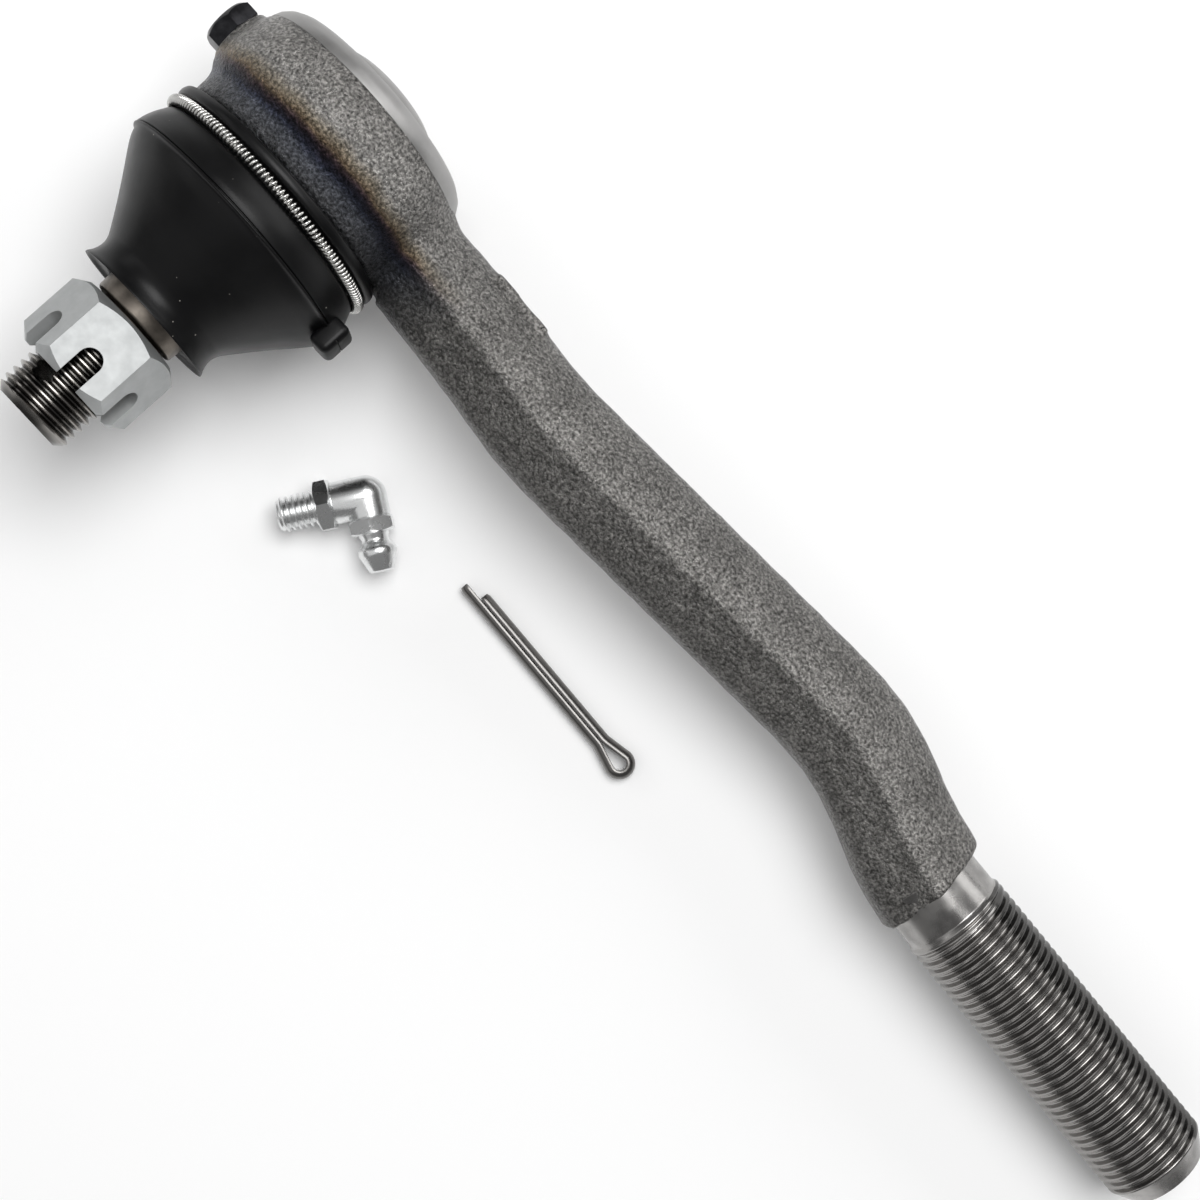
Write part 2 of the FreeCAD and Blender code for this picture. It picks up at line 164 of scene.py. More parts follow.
def turnedPiece(name, outline, material, segments=128, closed=True, smoothDeg=35, wobble=None):
    # solid turned about Y from a (radius, y) outline
    points, faces = [], []
    rows = len(outline)
    for segment in range(segments):
        angle = fullTurn * segment / segments
        for radius, y in outline:
            if wobble:
                radius += wobble(angle, radius, y)
            points.append((radius * math.sin(angle), y, radius * math.cos(angle)))
    for segment in range(segments):
        following = (segment + 1) % segments
        for row in range(rows if closed else rows - 1):
            nextRow = (row + 1) % rows
            faces.append((segment * rows + row, segment * rows + nextRow,
                          following * rows + nextRow, following * rows + row))
    return meshPiece(name, points, faces, material, smoothDeg)


def hexPoints(flats, y, cornerUp=False):
    first = 0 if cornerUp else 30
    radius = flats / math.sqrt(3)
    angles = [math.radians(first + 60 * step) for step in range(6)]
    return [(radius * math.sin(a), y, radius * math.cos(a)) for a in angles]


def hexPiece(name, flats, low, high, chamferLow, chamferHigh, material, cornerUp=False, faceRatio=0.96):
    # hexagon about Y with its corners turned off by a cone at each end
    points = hexPoints(flats, low, cornerUp) + hexPoints(flats, high, cornerUp)
    faces = [tuple(range(6)), tuple(range(11, 5, -1))]
    faces += [(i, (i + 1) % 6, 6 + (i + 1) % 6, 6 + i) for i in range(6)]
    piece = meshPiece(name, points, faces, material)
    corner, face = flats / math.sqrt(3) + 0.02, flats / 2 * faceRatio
    barrel = turnedPiece("barrel", [(0, low), (face, low), (corner, low + chamferLow),
                                    (corner, high - chamferHigh), (face, high), (0, high)], material, 192)
    return cutWith(piece, barrel, "INTERSECT")


def threadRadius(phase, crest, root, flat, creaseDepth=0.0):
    # 60 degree thread with a rounded crest and root; phase is 0 to 1 along one pitch
    away = abs((phase + 0.5) % 1.0 - 0.5) * 2            # 0 at the crest, 1 at the root
    slope = min(max((away - flat) / (0.86 - flat), 0.0), 1.0)
    rounded = slope * slope * (3 - 2 * slope) * 0.35 + slope * 0.65
    crease = creaseDepth * max(0.0, 1 - away / 0.1)
    return crest - (crest - root) * rounded - crease


def threadedRod(name, size, outlineRadius, material, segments=96, samples=14):
    # A helical grid, so that every crest follows a true screw line.
    # outlineRadius(place) is the plain turned radius, and the thread cuts into it.
    start, end, pitch = size["start"], size["end"], size["pitch"]
    rows = int((size["rodEnd"] - size["rodStart"]) / pitch + 3) * samples
    points, faces = [], []
    for segment in range(segments):
        angle = fullTurn * segment / segments
        for row in range(rows):
            place = size["rodStart"] - pitch + pitch * (row / samples + segment / segments)
            phase = (place - start) / pitch - segment / segments
            place = min(max(place, size["rodStart"]), size["rodEnd"])
            fade = min(max((place - start) / (1.2 * pitch), 0), 1)
            fade *= min(max((end - place) / (0.3 * pitch), 0), 1)
            cut = threadRadius(phase, size["crest"], size["root"], size["flat"], size.get("crease", 0))
            plain = outlineRadius(place)
            radius = plain + (min(plain, cut) - plain) * fade
            points.append((radius * math.sin(angle), place, radius * math.cos(angle)))
    for segment in range(segments):
        last = segment == segments - 1
        following, shift = (0, samples) if last else (segment + 1, 0)
        for row in range(rows - 1):
            if row + 1 + shift < rows:
                faces.append((segment * rows + row, segment * rows + row + 1,
                              following * rows + row + 1 + shift, following * rows + row + shift))
    piece = meshPiece(name, points, faces, material, 60)
    work = bmesh.new()
    work.from_mesh(piece.data)
    bmesh.ops.delete(work, geom=[f for f in work.faces if f.calc_area() < 1e-13], context="FACES_ONLY")
    bmesh.ops.remove_doubles(work, verts=work.verts, dist=0.004 * mm)
    bmesh.ops.delete(work, geom=[v for v in work.verts if not v.link_faces], context="VERTS")
    bmesh.ops.holes_fill(work, edges=[e for e in work.edges if e.is_boundary], sides=0)
    bmesh.ops.recalc_face_normals(work, faces=work.faces)
    work.to_mesh(piece.data)
    work.free()
    return piece


def reposition(piece, matrix):
    piece.data.transform(matrix)
    piece.data.update()
    return piece


def place(angleX=0, angleY=0, angleZ=0, shift=(0, 0, 0)):
    turn = Matrix.Rotation(math.radians(angleZ), 4, "Z")
    turn = turn @ Matrix.Rotation(math.radians(angleY), 4, "Y")
    turn = turn @ Matrix.Rotation(math.radians(angleX), 4, "X")
    return Matrix.Translation(Vector(shift) * mm) @ turn


def joinPieces(pieces, name):
    bpy.ops.object.select_all(action="DESELECT")
    for piece in pieces:
        piece.select_set(True)
    bpy.context.view_layer.objects.active = pieces[0]
    bpy.ops.object.join()
    pieces[0].name = name
    return pieces[0]


def surfaceNet(field, low, step):
    # closed mesh where the field changes sign, one vertex to a mixed cell
    cells = tuple(n - 1 for n in field.shape)
    total = np.zeros(cells + (3,))
    count = np.zeros(cells)
    crossings = []
    for axis in range(3):
        first = np.take(field, range(field.shape[axis] - 1), axis)
        second = np.take(field, range(1, field.shape[axis]), axis)
        crosses = (first < 0) != (second < 0)
        share = np.where(crosses, first / np.where(crosses, first - second, 1), 0)
        crossings.append((first < 0, crosses))
        across = [a for a in range(3) if a != axis]
        for one in (0, 1):
            for two in (0, 1):
                window = [slice(None)] * 3
                window[across[0]] = slice(one, one + cells[across[0]])
                window[across[1]] = slice(two, two + cells[across[1]])
                here = crosses[tuple(window)]
                total[..., axis] += share[tuple(window)] * here
                total[..., across[0]] += one * here
                total[..., across[1]] += two * here
                count += here
    used = count > 0
    ids = np.full(cells, -1)
    ids[used] = np.arange(used.sum())
    corner = np.argwhere(used)
    points = (corner + total[used] / count[used][:, None]) * step + low
    quads = []
    for axis in range(3):
        inside, crosses = crossings[axis]
        b, c = (axis + 1) % 3, (axis + 2) % 3
        at = np.argwhere(crosses)
        at = at[(at[:, b] > 0) & (at[:, c] > 0) & (at[:, b] < cells[b]) & (at[:, c] < cells[c])]
        ring = []
        for backB, backC in ((1, 1), (0, 1), (0, 0), (1, 0)):
            cell = at.copy()
            cell[:, b] -= backB
            cell[:, c] -= backC
            ring.append(ids[tuple(cell.T)])
        ring = np.stack(ring, 1)
        outward = inside[tuple(at.T)]
        quads.append(np.where(outward[:, None], ring, ring[:, ::-1]))
    return points, np.concatenate(quads)


def relax(points, quads, rounds):
    # each point moves half way to the mean of its neighbours, which takes out the grid's steps
    for _ in range(rounds):
        total = np.zeros_like(points)
        count = np.zeros(len(points))
        for side in range(4):
            first, second = quads[:, side], quads[:, (side + 1) % 4]
            for a, b in ((first, second), (second, first)):
                for axis in range(3):
                    total[:, axis] += np.bincount(a, points[b, axis], len(points))
                count += np.bincount(a, minlength=len(points))
        points = 0.5 * points + 0.5 * total / count[:, None]
    return points


def gridPiece(name, points, quads, material):
    mesh = bpy.data.meshes.new(name)
    mesh.vertices.add(len(points))
    mesh.vertices.foreach_set("co", (points * mm).astype(np.float32).ravel())
    mesh.loops.add(quads.size)
    mesh.loops.foreach_set("vertex_index", quads.astype(np.int32).ravel())
    mesh.polygons.add(len(quads))
    mesh.polygons.foreach_set("loop_start", np.arange(0, quads.size, 4, dtype=np.int32))
    mesh.update(calc_edges=True)
    mesh.validate()
    mesh.shade_smooth()
    piece = bpy.data.objects.new(name, mesh)
    bpy.context.collection.objects.link(piece)
    mesh.materials.append(material)
    return piece


def smoothMin(a, b, width):
    share = np.clip(0.5 + 0.5 * (b - a) / width, 0, 1)
    return b * (1 - share) + a * share - width * share * (1 - share)


def smoothMax(a, b, width):
    return -smoothMin(-a, -b, width)


def gentle(places, stations, values, width):
    # a line through the stations, with its corners eased over the width
    fine = np.linspace(stations[0] - 20, stations[-1] + 20, 1200)
    raw = np.interp(fine, stations, values)
    spread = int(3 * width / (fine[1] - fine[0]))
    offsets = np.arange(-spread, spread + 1) * (fine[1] - fine[0])
    weights = np.exp(-0.5 * (offsets / width) ** 2)
    eased = np.convolve(np.pad(raw, spread, "edge"), weights / weights.sum(), "valid")
    return np.interp(places, fine, eased)


view = {
    "benchNormal": (-0.0700, -0.1310, 0.9889),    # the part lies tipped on its eye and shank end
    "benchDrop": 23.4,                            # mm
    "benchHalf": 900,
    "eyePoint": (55.57, -61.48, 346.1),           # mm
    "roll": 47.06,
    "lens": 66.8,
}
benchNormal = Vector(view["benchNormal"]).normalized()
benchTilt = Vector((0, 0, 1)).rotation_difference(benchNormal)


def makeCamera():
    data = bpy.data.cameras.new("camera")
    data.lens = view["lens"]
    data.sensor_width = 36
    data.clip_start = 0.01
    camera = bpy.data.objects.new("camera", data)
    bpy.context.collection.objects.link(camera)
    camera.location = Vector(view["eyePoint"]) * mm
    camera.rotation_mode = "QUATERNION"
    camera.rotation_quaternion = benchTilt @ Quaternion((0, 0, 1), math.radians(view["roll"]))
    bpy.context.scene.camera = camera


lights = [
    # place over the bench (frame right, frame up, height) in m, size in m, power in W
    {"name": "keyBox", "at": (0.19, 0.22, 0.86), "size": (0.6, 0.6), "power": 7.0},
    {"name": "rightBox", "at": (0.78, 0.60, 0.42), "size": (0.8, 0.5), "power": 3.2},
    {"name": "backStrip", "at": (-0.70, 0.50, 0.40), "size": (0.9, 0.25), "power": 0.8},
    {"name": "leftPanel", "at": (-0.55, -0.15, 0.75), "size": (0.9, 0.9), "power": 1.2},
]


def makeLights():
    middle = Vector((0.09, -0.01, 0))
    turn = benchTilt @ Quaternion((0, 0, 1), math.radians(view["roll"]))
    for light in lights:
        data = bpy.data.lights.new(light["name"], "AREA")
        data.shape = "RECTANGLE"
        data.size, data.size_y = light["size"]
        data.energy = light["power"]
        lamp = bpy.data.objects.new(light["name"], data)
        bpy.context.collection.objects.link(lamp)
        lamp.location = turn @ Vector(light["at"]) + middle
        lamp.rotation_mode = "QUATERNION"
        lamp.rotation_quaternion = (middle - lamp.location).to_track_quat("-Z", "Y")
    world = bpy.data.worlds.new("studio")
    bpy.context.scene.world = world
    world.use_nodes = True
    world.node_tree.nodes["Background"].inputs["Color"].default_value = linear("#ffffff")
    world.node_tree.nodes["Background"].inputs["Strength"].default_value = 0.2
    bpy.context.scene.view_settings.view_transform = "Standard"


def makeBench():
    # matt white sweep paper: no gloss, so that only soft contact shadows show
    paper, tree, shader = newMaterial("whiteSweepPaper", {
        "Base Color": linear("#fbfbfb"), "Roughness": 0.9, "Specular IOR Level": 0.1})
    where = addNode(tree, "TexCoord", {}, "Object")
    fibre = addNode(tree, "TexNoise", {"Vector": where, "Scale": 1000 / 0.8, "Detail": 3})
    relief = addNode(tree, "Bump", {"Height": fibre, "Distance": 0.01 * mm, "Strength": 0.3})
    tree.links.new(relief, shader.inputs["Normal"])
    half = view["benchHalf"]
    bench = meshPiece("bench", [(-half, -half, 0), (half, -half, 0), (half, half, 0), (-half, half, 0)],
                      [(0, 1, 2, 3)], paper)
    bench.data.transform(Matrix.Translation(benchNormal * -view["benchDrop"] * mm)
                         @ benchTilt.to_matrix().to_4x4())


makeCamera()
makeLights()
makeBench()
print("camera, bench and light ready")


def forgedSteel(name):
    # Hot-forged steel, shot blasted: a dark skin of fused pits that glints where shot has burnished it.
    material, tree, shader = newMaterial(name, {"Metallic": 0.9, "Roughness": 0.42})
    gritMm, glintMm, waveMm = 0.5, 0.8, 7.0
    where = addNode(tree, "TexCoord", {}, "Object")
    grit = addNode(tree, "TexNoise", {"Vector": where, "Scale": 1000 / gritMm, "Detail": 4, "Roughness": 0.62})
    glint = addNode(tree, "TexNoise", {"Vector": where, "Scale": 1000 / glintMm, "Detail": 3, "Roughness": 0.6})
    waves = addNode(tree, "TexNoise", {"Vector": where, "Scale": 1000 / waveMm, "Detail": 3})
    greys = [(0.34, "#4d4c4a"), (0.5, "#8b8986"), (0.66, "#c4c1bd")]
    pits = addNode(tree, "ValToRGB", {"Fac": grit}, stops=greys)
    blotch = addNode(tree, "ValToRGB", {"Fac": waves}, stops=[(0.3, 0.75), (0.7, 1.0)])
    colour = addNode(tree, "Mix", {0: 1.0, 6: pits, 7: blotch}, 2, data_type="RGBA", blend_type="MULTIPLY")
    colour = heatTint(tree, where, colour)
    # painted shade: the flanks are darkened against the top by which way they face, most of all the flank
    # towards the stud
    facing = addNode(tree, "TexCoord", {}, "Normal")
    facing = addNode(tree, "SeparateXYZ", {"Vector": facing}, "Y")
    facing = addNode(tree, "MapRange", {"Value": facing, "From Min": -1.0, "From Max": 1.0})
    paintedShadeStops = [(0.2, 0.5), (0.37, 1.0), (0.56, 1.0), (0.72, 0.66)]
    scale = addNode(tree, "ValToRGB", {"Fac": facing}, stops=paintedShadeStops)
    # the painted shade multiplies the base colour
    colour = addNode(tree, "Mix", {0: 1.0, 6: colour, 7: scale}, 2, data_type="RGBA", blend_type="MULTIPLY")
    tree.links.new(colour, shader.inputs["Base Color"])
    rough = addNode(tree, "ValToRGB", {"Fac": glint}, stops=[(0.35, 0.44), (0.65, 0.26)])
    tree.links.new(rough, shader.inputs["Roughness"])
    relief = addNode(tree, "Bump", {"Height": waves, "Distance": 0.25 * mm, "Strength": 0.5})
    relief = addNode(tree, "Bump", {"Height": grit, "Distance": 0.45 * mm, "Strength": 1.0, "Normal": relief})
    tree.links.new(relief, shader.inputs["Normal"])
    return material


def heatTint(tree, where, colour):
    # Oxide colours left where the eye was heated: blue in the hollow beside the boot, then gold, then none.
    wander = addNode(tree, "TexNoise", {"Vector": where, "Scale": 1000 / 6.0, "Detail": 3})
    y = addNode(tree, "SeparateXYZ", {"Vector": where}, "Y")
    y = addNode(tree, "Math", {0: y, 1: 1000}, operation="MULTIPLY")
    wander = addNode(tree, "Math", {0: wander, 1: 0.5}, operation="SUBTRACT")
    wander = addNode(tree, "Math", {0: wander, 1: 2.2}, operation="MULTIPLY")
    y = addNode(tree, "Math", {0: y, 1: wander}, operation="ADD")
    along = addNode(tree, "MapRange", {"Value": y, "From Min": -8.0, "From Max": 2.0})
    tint = addNode(tree, "ValToRGB", {"Fac": along}, stops=[
        (0.0, "#8f9299"), (0.22, "#8f95a3"), (0.34, "#6d7591"), (0.42, "#6f6a80"),
        (0.48, "#9a838a"), (0.55, "#c4ad92"), (0.66, "#e0d5c2"), (0.82, "#ffffff")])
    # the tint stays on the eye and fades along the arm
    x = addNode(tree, "SeparateXYZ", {"Vector": where}, "X")
    x = addNode(tree, "Math", {0: x, 1: 1000}, operation="MULTIPLY")
    fade = addNode(tree, "MapRange", {"Value": x, "From Min": 22.0, "From Max": 33.0})
    strength = addNode(tree, "Math", {0: 1.0, 1: fade}, operation="SUBTRACT", use_clamp=True)
    tinted = addNode(tree, "Mix", {0: 1.0, 6: colour, 7: tint}, 2, data_type="RGBA", blend_type="MULTIPLY")
    return addNode(tree, "Mix", {0: strength, 6: colour, 7: tinted}, 2, data_type="RGBA")


def turnedSteel(name, shade, roughness, ringMm, axis="Y", ringDepth=0.01, blotch=0.85):
    # Lathe-turned steel: fine rings round the axis catch the light in streaks.
    material, tree, shader = newMaterial(name, {"Metallic": 1.0, "Roughness": roughness})
    where = addNode(tree, "TexCoord", {}, "Object")
    stretch = {"Y": (0.02, 1, 0.02), "X": (1, 0.02, 0.02)}[axis]
    rings = addNode(tree, "Mapping", {"Vector": where, "Scale": stretch})
    ring = addNode(tree, "TexNoise", {"Vector": rings, "Scale": 1000 / ringMm, "Detail": 4, "Roughness": 0.7})
    cloud = addNode(tree, "TexNoise", {"Vector": where, "Scale": 1000 / 4.0, "Detail": 3})
    dull = addNode(tree, "ValToRGB", {"Fac": cloud}, stops=[(0.35, blotch), (0.65, 1.0)])
    ends = {0: 1.0, 6: linear(shade), 7: dull}
    colour = addNode(tree, "Mix", ends, 2, data_type="RGBA", blend_type="MULTIPLY")
    tree.links.new(colour, shader.inputs["Base Color"])
    wear = addNode(tree, "Math", {0: cloud, 1: 0.18}, operation="MULTIPLY")
    wear = addNode(tree, "Math", {0: wear, 1: roughness - 0.09}, operation="ADD")
    tree.links.new(wear, shader.inputs["Roughness"])
    relief = addNode(tree, "Bump", {"Height": ring, "Distance": ringDepth * mm, "Strength": 0.6})
    tree.links.new(relief, shader.inputs["Normal"])
    return material


def rolledThreadSteel(name, shade, axis, crest, depth):
    # Thread rolled into bar steel: burnished crests, and roots darkened with painted shade.
    material, tree, shader = newMaterial(name, {"Metallic": 1.0, "Roughness": 0.22})
    where = addNode(tree, "TexCoord", {}, "Object")
    squares = []
    for letter in "XYZ".replace(axis, ""):
        across = addNode(tree, "SeparateXYZ", {"Vector": where}, letter)
        squares.append(addNode(tree, "Math", {0: across, 1: across}, operation="MULTIPLY"))
    away = addNode(tree, "Math", {0: squares[0], 1: squares[1]}, operation="ADD")
    away = addNode(tree, "Math", {0: away}, operation="SQRT")
    away = addNode(tree, "Math", {0: away, 1: 1000}, operation="MULTIPLY")
    # painted shade: the colour falls from the crest to a quarter of it at the thread root, smeared by noise
    height = addNode(tree, "MapRange", {"Value": away, "From Min": crest - depth, "From Max": crest})
    cloud = addNode(tree, "TexNoise", {"Vector": where, "Scale": 1000 / 3.0, "Detail": 3})
    rootShadeAndSmear = addNode(tree, "Math", {0: cloud, 1: 0.5}, operation="SUBTRACT")
    rootShadeAndSmear = addNode(tree, "Math", {0: rootShadeAndSmear, 1: 0.5}, operation="MULTIPLY")
    rootShadeAndSmear = addNode(tree, "Math", {0: height, 1: rootShadeAndSmear}, operation="ADD", use_clamp=True)
    colour = addNode(tree, "Mix", {0: rootShadeAndSmear, 6: dimmed(shade, 0.25), 7: linear(shade)}, 2, data_type="RGBA")
    tree.links.new(colour, shader.inputs["Base Color"])
    wear = addNode(tree, "Math", {0: cloud, 1: 0.16}, operation="MULTIPLY")
    wear = addNode(tree, "Math", {0: wear, 1: 0.14}, operation="ADD")
    tree.links.new(wear, shader.inputs["Roughness"])
    return material


def mouldedRubber(name):
    # Nitrile rubber, compression moulded: near black, a soft skin sheen, and dust that clings to it.
    material, tree, shader = newMaterial(name, {"Roughness": 0.36, "Specular IOR Level": 0.22})
    where = addNode(tree, "TexCoord", {}, "Object")
    skin = addNode(tree, "TexNoise", {"Vector": where, "Scale": 1000 / 0.35, "Detail": 3})
    bloom = addNode(tree, "TexNoise", {"Vector": where, "Scale": 1000 / 9.0, "Detail": 3, "Roughness": 0.55})
    base = addNode(tree, "ValToRGB", {"Fac": bloom}, stops=[(0.35, "#050506"), (0.7, "#0b0b0c")])
    specks = addNode(tree, "TexVoronoi", {"Vector": where, "Scale": 1000 / 2.6}, "Distance")
    specks = addNode(tree, "Math", {0: specks, 1: 0.045}, operation="LESS_THAN")
    patches = addNode(tree, "TexNoise", {"Vector": where, "Scale": 1000 / 14.0, "Detail": 2})
    patches = addNode(tree, "ValToRGB", {"Fac": patches}, stops=[(0.52, 0.0), (0.62, 1.0)])
    dust = addNode(tree, "Math", {0: specks, 1: patches}, operation="MULTIPLY")
    colour = addNode(tree, "Mix", {0: dust, 6: base, 7: linear("#8d8a84")}, 2, data_type="RGBA")
    tree.links.new(colour, shader.inputs["Base Color"])
    rough = addNode(tree, "ValToRGB", {"Fac": bloom}, stops=[(0.3, 0.3), (0.7, 0.45)])
    tree.links.new(rough, shader.inputs["Roughness"])
    relief = addNode(tree, "Bump", {"Height": skin, "Distance": 0.012 * mm, "Strength": 0.5})
    tree.links.new(relief, shader.inputs["Normal"])
    return material


def brightZinc(name, shade="#c9cbcb", roughness=0.64):
    # Clear zinc plate over machined steel: pale blue-white, slightly milky, with tool marks beneath.
    material, tree, shader = newMaterial(name, {"Metallic": 1.0, "Roughness": roughness})
    where = addNode(tree, "TexCoord", {}, "Object")
    cloud = addNode(tree, "TexNoise", {"Vector": where, "Scale": 1000 / 2.5, "Detail": 4, "Roughness": 0.6})
    colour = addNode(tree, "Mix", {0: cloud, 6: linear(shade), 7: dimmed(shade, 0.8)}, 2, data_type="RGBA")
    tree.links.new(colour, shader.inputs["Base Color"])
    rough = addNode(tree, "Math", {0: cloud, 1: 0.16}, operation="MULTIPLY")
    rough = addNode(tree, "Math", {0: rough, 1: roughness - 0.08}, operation="ADD")
    tree.links.new(rough, shader.inputs["Roughness"])
    fine = addNode(tree, "TexNoise", {"Vector": where, "Scale": 1000 / 0.25, "Detail": 2})
    relief = addNode(tree, "Bump", {"Height": fine, "Distance": 0.006 * mm, "Strength": 0.5})
    tree.links.new(relief, shader.inputs["Normal"])
    return material


def blackOxide(name):
    # Black oxide on a cold-headed screw: a thin dark skin that still shows steel at its corners.
    material, tree, shader = newMaterial(name, {"Metallic": 0.8, "Roughness": 0.3})
    where = addNode(tree, "TexCoord", {}, "Object")
    cloud = addNode(tree, "TexNoise", {"Vector": where, "Scale": 1000 / 1.6, "Detail": 4})
    colour = addNode(tree, "ValToRGB", {"Fac": cloud}, stops=[(0.35, "#17171a"), (0.75, "#333336")])
    tree.links.new(colour, shader.inputs["Base Color"])
    fine = addNode(tree, "TexNoise", {"Vector": where, "Scale": 1000 / 0.3, "Detail": 3})
    relief = addNode(tree, "Bump", {"Height": fine, "Distance": 0.012 * mm, "Strength": 0.5})
    tree.links.new(relief, shader.inputs["Normal"])
    return material


def drawnWire(name, shade, roughness):
    # Drawn steel wire: long faint die lines and a thin oil film.
    material, tree, shader = newMaterial(name, {"Metallic": 1.0, "Roughness": roughness})
    where = addNode(tree, "TexCoord", {}, "Object")
    cloud = addNode(tree, "TexNoise", {"Vector": where, "Scale": 1000 / 1.8, "Detail": 4, "Roughness": 0.6})
    colour = addNode(tree, "Mix", {0: cloud, 6: dimmed(shade, 0.6), 7: linear(shade)}, 2, data_type="RGBA")
    tree.links.new(colour, shader.inputs["Base Color"])
    fine = addNode(tree, "TexNoise", {"Vector": where, "Scale": 1000 / 0.3, "Detail": 3})
    relief = addNode(tree, "Bump", {"Height": fine, "Distance": 0.008 * mm, "Strength": 0.5})
    tree.links.new(relief, shader.inputs["Normal"])
    return material


def mouldedResin(name):
    # Acetal resin, injection moulded: creamy and slightly waxy.
    material, tree, shader = newMaterial(name, {"Roughness": 0.42, "Subsurface Weight": 0.05})
    where = addNode(tree, "TexCoord", {}, "Object")
    cloud = addNode(tree, "TexNoise", {"Vector": where, "Scale": 1000 / 3.0, "Detail": 3})
    colour = addNode(tree, "Mix", {0: cloud, 6: linear("#e6dfcb"), 7: linear("#d8cfb6")}, 2, data_type="RGBA")
    tree.links.new(colour, shader.inputs["Base Color"])
    relief = addNode(tree, "Bump", {"Height": cloud, "Distance": 0.02 * mm, "Strength": 0.3})
    tree.links.new(relief, shader.inputs["Normal"])
    return material


forgedEye = forgedSteel("shotBlastedForgedSteel")
satinCover = turnedSteel("satinTurnedSteel", "#a3a2a1", 0.46, 0.12)
polishedNeck = turnedSteel("groundNeckSteel", "#a9a7a5", 0.27, 0.15, "X", 0.006, 0.6)
shankThreadSteel = rolledThreadSteel("rolledShankSteel", "#999795", "X", 8.95, 0.9)
studThreadSteel = rolledThreadSteel("rolledStudSteel", "#94918d", "Y", 6.97, 0.9)
studTaperSteel = turnedSteel("groundTaperSteel", "#7d766e", 0.38, 0.2, "Y", 0.012, 0.35)
rubber = mouldedRubber("mouldedNitrileRubber")
nutZinc = brightZinc("clearZincPlate")
nippleZinc = brightZinc("brightZincPlate", "#f0f1f1", 0.27)
screwOxide = blackOxide("blackOxideSteel")
garterWire = drawnWire("brightGarterWire", "#ecebe8", 0.18)
cotterWire = drawnWire("drawnCotterWire", "#7c7a78", 0.3)
springWire = drawnWire("oiledSpringSteel", "#8a8a8c", 0.3)
resin = mouldedResin("acetalResin")
print("materials ready")


forging = {
    "lean": 3.0,
    "eyeOutline": [(-16.0, 19.3), (-9.2, 19.3), (-8.8, 20.1), (-6.0, 20.1), (-4.6, 20.5),
                   (-3.2, 21.7), (-1.6, 22.25), (0.4, 22.3), (3.0, 22.15), (5.0, 21.75),
                   (7.9, 20.7), (9.4, 18.6), (10.6, 16.0)],
    "cavity": [(-14.6, 12.8), (-11.0, 10.6), (-8.6, 10.6), (-3.0, 16.2), (11.0, 16.2)],
    "spigotEnd": -14.5,
    "topEnd": 9.2,
    "armStations": [10, 34, 46, 52, 60, 118, 125, 132, 141, 150.5],
    "armCentre": [-0.1, 0.05, -0.35, -0.85, -0.2, 5.95, 5.95, 4.5, 1.5, 0.1],
    "armHalfWidth": [8.5, 9.0, 9.2, 9.4, 9.6, 9.55, 9.6, 9.85, 10.0, 9.9],
    "armHalfHeight": 8.8,
    "armStart": 6.0,
    "swellStart": 137,
    "swellRun": 9,
    "swell": 0.6,
    "padMiddle": 37.5,
    "padHalfLength": 6.0,
    "padHalfHeight": 4.5,
    "padFace": 8.8,
    "notchAt": (30.5, -8.6, 4.6),
    "notchHalf": (2.8, 1.7, 1.6),
    "bootRoomRadius": 21.9,
    "bootRoomEnd": -8.9,
    "armEnd": 150.0,
    "armEndSlope": 0.06,
    "flash": (-1.6, 2.4),
    "bossRadius": 4.8,
    "bossX": -19.6,
    "bossY": 2.8,
    "bossHalfLength": 2.7,
    "step": 0.42,
}


def waviness(x, y, z):
    # slow unevenness of hand-dressed dies, under a tenth of a millimetre
    return 0.05 * np.sin(x * 0.9 + 1.7 * np.sin(z * 0.5)) * np.sin(y * 1.1 + z * 0.8 + 0.6) \
        + 0.035 * np.sin(x * 2.3 + y * 1.9) * np.sin(z * 2.1 - x * 0.7)


def armField(x, y, z):
    lean = math.radians(forging["lean"])
    along = x * math.cos(lean) - y * math.sin(lean)
    across = x * math.sin(lean) + y * math.cos(lean)
    stations = forging["armStations"]
    centre = gentle(along, stations, forging["armCentre"], 3.2)
    half = gentle(along, stations, forging["armHalfWidth"], 4.0)
    swell = np.clip((along - forging["swellStart"]) / forging["swellRun"], 0, 1)    # over the neck
    tall = forging["armHalfHeight"] + forging["swell"] * swell
    side = across - centre
    height = np.abs(z)
    flashLow, flashHigh = forging["flash"]

    def flank(start, sign):
        # drafted flank from the flash land to the knee of the side
        run = 0.86 * half - sign * start
        drop = 0.50 * tall
        length = np.sqrt(run ** 2 + drop ** 2)
        return ((sign * side - sign * start) * drop + (height - tall) * run) / length

    shape = smoothMax(height - tall, flank(flashHigh, 1), 3.6)
    shape = smoothMax(shape, flank(flashLow, -1), 0.5)
    roundSide = np.sqrt((side / half) ** 2 + (height / (tall * 1.25)) ** 2) * half - half
    shape = smoothMax(shape, roundSide, 1.5)
    pad = np.maximum.reduce([np.abs(along - forging["padMiddle"]) - forging["padHalfLength"],
                             height - forging["padHalfHeight"], side - (forging["padFace"] - centre), -side])
    shape = smoothMin(shape, pad, 0.5)
    notchX, notchY, notchZ = forging["notchAt"]
    halfX, halfY, halfZ = forging["notchHalf"]
    notch = ((along - notchX) / halfX) ** 2 + ((across - notchY) / halfY) ** 2 + ((z - notchZ) / halfZ) ** 2
    notch = np.sqrt(notch)
    shape = smoothMax(shape, -(notch * halfZ - halfZ), 0.5)
    shape = smoothMax(shape, forging["armStart"] - along, 1.0)      # the arm starts inside the eye
    return smoothMax(shape, along + forging["armEndSlope"] * across - forging["armEnd"], 0.6)


